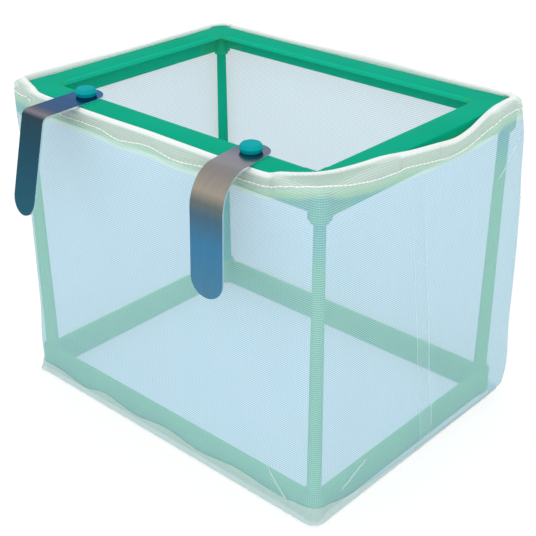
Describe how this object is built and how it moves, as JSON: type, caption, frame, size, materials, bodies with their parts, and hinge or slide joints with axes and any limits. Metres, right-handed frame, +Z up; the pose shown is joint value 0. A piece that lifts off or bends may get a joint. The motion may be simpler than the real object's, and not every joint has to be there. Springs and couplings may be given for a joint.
{
  "type": "fish breeding box",
  "caption": "Open-topped net box on a clip-together plastic frame, with curved steel strips riveted on swivel pegs to hang it inside a fish tank rim.",
  "frame": {"origin": "centre of the frame's footprint, on the underside of the net floor", "axes": "+X along the long side, -Y towards the hangers, +Z up out of the open top"},
  "size_m": [0.1775, 0.1592, 0.1452],
  "materials": {
    "frame_plastic": "glossy translucent green",
    "peg_plastic": "glossy teal",
    "steel": "bright rolled strip",
    "net": "sheer fine net",
    "hem": "doubled net casing",
    "elastic": "matte covered elastic"
  },
  "bodies": {
    "bag": {"net_floor": "net", "net_wall_front": "net", "net_wall_right": "net", "net_wall_back": "net", "net_wall_left": "net", "net_hem": "hem", "elastic_cord": "elastic"},
    "frame": {"lower_rail_front": "frame_plastic", "lower_rail_right": "frame_plastic", "lower_rail_back": "frame_plastic", "lower_rail_left": "frame_plastic", "lower_corner_front_left": "frame_plastic", "lower_corner_front_right": "frame_plastic", "lower_corner_back_left": "frame_plastic", "lower_corner_back_right": "frame_plastic", "post_front_left": "frame_plastic", "post_front_right": "frame_plastic", "post_back_left": "frame_plastic", "post_back_right": "frame_plastic", "upper_corner_front_left": "frame_plastic", "upper_corner_front_right": "frame_plastic", "upper_corner_back_left": "frame_plastic", "upper_corner_back_right": "frame_plastic", "upper_rail_front": "frame_plastic", "upper_rail_right": "frame_plastic", "upper_rail_back": "frame_plastic", "upper_rail_left": "frame_plastic", "peg_left": "peg_plastic", "peg_right": "peg_plastic"},
    "left_hanger": {"hanger_left": "steel"},
    "right_hanger": {"hanger_right": "steel"}
  },
  "joints": [
    {"name": "frame_lift", "type": "slide", "parent": "bag", "child": "frame", "axis": [0, 0, 1], "range_m": [0, 0.15]},
    {"name": "left_swivel", "type": "hinge", "parent": "frame", "child": "left_hanger", "pos_m": [-0.0483, -0.052, 0.1415], "axis": [0, 0, 1], "range_deg": [-40, 40]},
    {"name": "right_swivel", "type": "hinge", "parent": "frame", "child": "right_hanger", "pos_m": [0.0428, -0.052, 0.1415], "axis": [0, 0, 1], "range_deg": [-26, 12]}
  ]
}
